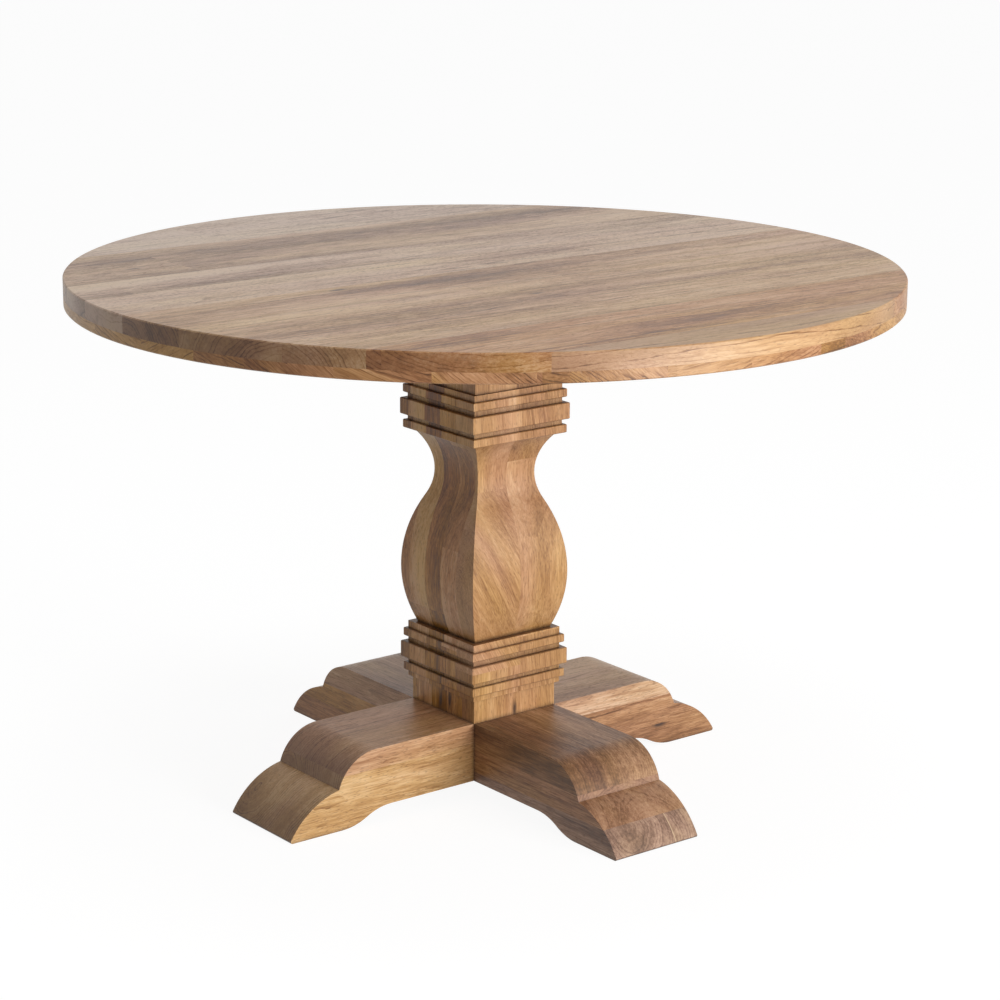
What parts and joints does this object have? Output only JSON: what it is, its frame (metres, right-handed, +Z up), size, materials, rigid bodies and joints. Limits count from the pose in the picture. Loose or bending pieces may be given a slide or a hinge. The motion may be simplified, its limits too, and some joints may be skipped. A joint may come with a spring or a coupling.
{
  "type": "pedestal dining table",
  "caption": "Round wooden dining table on a square baluster column with stacked flat mouldings, carried by crossed feet with scroll-cut toes.",
  "frame": {"origin": "on the floor, at the centre of the crossed feet, under the axis of the column", "axes": "+Z up along the column; X along the foot that laps over; Y along the foot that laps under and along the boards of the top"},
  "size_m": [1.2, 1.2, 0.765],
  "materials": {
    "top_wood": "mango wood, sanded, matt lacquer",
    "rim_wood": "mango wood, sanded, matt lacquer",
    "column_wood": "mango wood, sanded, matt lacquer",
    "foot_wood": "mango wood, sanded, matt lacquer",
    "arm_wood": "mango wood, sawn and sanded",
    "fastener_steel": "zinc-plated steel"
  },
  "bodies": {
    "root": {"coach_screws": "fastener_steel", "column_board_1_lower": "column_wood", "column_board_1_upper": "column_wood", "column_board_2": "column_wood", "column_board_3": "column_wood", "column_board_4": "column_wood", "column_board_5": "column_wood", "over_arm": "arm_wood", "over_foot_middle_board_left": "foot_wood", "over_foot_middle_board_right": "foot_wood", "over_foot_sole_left": "foot_wood", "over_foot_sole_right": "foot_wood", "over_foot_top_board": "foot_wood", "rim_board_1": "rim_wood", "rim_board_2": "rim_wood", "rim_board_3": "rim_wood", "rim_board_4": "rim_wood", "rim_board_5": "rim_wood", "rim_board_6": "rim_wood", "rim_board_7": "rim_wood", "rim_board_8": "rim_wood", "top_board_1": "top_wood", "top_board_2": "top_wood", "top_board_3": "top_wood", "top_board_4": "top_wood", "top_board_5": "top_wood", "top_board_6": "top_wood", "top_board_7": "top_wood", "top_board_8": "top_wood", "top_board_9": "top_wood", "under_arm": "arm_wood", "under_foot_middle_board": "foot_wood", "under_foot_sole": "foot_wood", "under_foot_top_board_back": "foot_wood", "under_foot_top_board_front": "foot_wood"}
  },
  "joints": []
}
